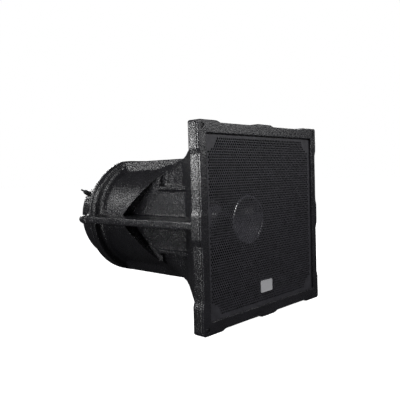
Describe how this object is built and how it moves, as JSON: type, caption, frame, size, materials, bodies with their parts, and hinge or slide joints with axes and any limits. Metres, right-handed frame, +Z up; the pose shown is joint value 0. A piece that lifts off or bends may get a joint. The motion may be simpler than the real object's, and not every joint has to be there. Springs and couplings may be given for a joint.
{
  "type": "horn loudspeaker",
  "caption": "All-weather coaxial horn loudspeaker: square flanged mouth with a perforated grille, round drum with flat sides, side fins and a bolted round rear cover.",
  "frame": {"origin": "middle of the flat pad under the mouth flange, the lowest face", "axes": "+Y from the mouth to the rear cover (the sound leaves along -Y), +Z up, +X to the right seen from the front looking along +Y"},
  "size_m": [0.55, 0.7095, 0.55],
  "materials": {
    "fibreglass_black": "matt, mottled black gel coat over glass fibre",
    "frame_black": "matt black",
    "grille_black": "powder-coated perforated steel",
    "painted_steel": "satin black paint",
    "steel": "zinc-plated",
    "black_steel": "blackened steel",
    "aluminium": "brushed and clear-coated",
    "rubber_black": "matt",
    "cone_paper": "treated paper",
    "ferrite": "ground ceramic",
    "gloss_black": "gloss",
    "felt": "fibrous",
    "board_green": "printed circuit board",
    "copper": "enamelled wire"
  },
  "bodies": {
    "cabinet": {"horn_body": "fibreglass_black", "front_frame": "frame_black", "grille": "grille_black", "grille_gasket": "rubber_black", "frame_bolt_1": "black_steel", "frame_bolt_2": "black_steel", "frame_bolt_3": "black_steel", "frame_bolt_4": "black_steel", "badge": "aluminium", "hf_horn": "gloss_black", "hf_bracket": "painted_steel", "hf_front_plate": "steel", "hf_magnet": "ferrite", "hf_yoke": "steel", "hf_diaphragm_ring": "aluminium", "hf_rear_cap": "painted_steel", "hf_bracket_screw_right": "steel", "hf_bracket_screw_left": "steel", "woofer_gasket": "rubber_black", "woofer_basket": "painted_steel", "woofer_surround": "rubber_black", "woofer_spider": "felt", "woofer_top_plate": "steel", "woofer_magnet": "ferrite", "woofer_pole_and_back_plate": "steel", "woofer_terminal": "gloss_black", "woofer_lead": "rubber_black", "cover_gasket": "rubber_black", "rear_cover": "fibreglass_black", "cover_bolt_1": "steel", "cover_bolt_2": "steel", "cover_bolt_3": "steel", "cover_bolt_4": "steel", "cover_bolt_5": "steel", "cover_bolt_6": "steel", "cover_bolt_7": "steel", "cover_bolt_8": "steel", "ear_bolt_right": "steel", "ear_bolt_left": "steel", "damping_felt": "felt", "cable_gland": "rubber_black", "cable_gland_nut": "rubber_black", "supply_cable": "rubber_black", "crossover_board": "board_green", "crossover_coil": "copper", "crossover_capacitor_1": "gloss_black", "crossover_capacitor_2": "gloss_black"},
    "woofer_moving": {"woofer_cone": "cone_paper", "woofer_dust_cap": "cone_paper", "woofer_voice_coil": "copper"},
    "hf_moving": {"hf_diaphragm": "aluminium"}
  },
  "joints": [
    {"name": "woofer_stroke", "type": "slide", "parent": "cabinet", "child": "woofer_moving", "axis": [0, 1, 0], "range_m": [-0.006, 0.006], "stiffness_N_per_m": 1500, "deforming": ["woofer_surround", "woofer_spider"]},
    {"name": "hf_stroke", "type": "slide", "parent": "cabinet", "child": "hf_moving", "axis": [0, 1, 0], "range_m": [-0.0004, 0.0004], "stiffness_N_per_m": 2000}
  ]
}
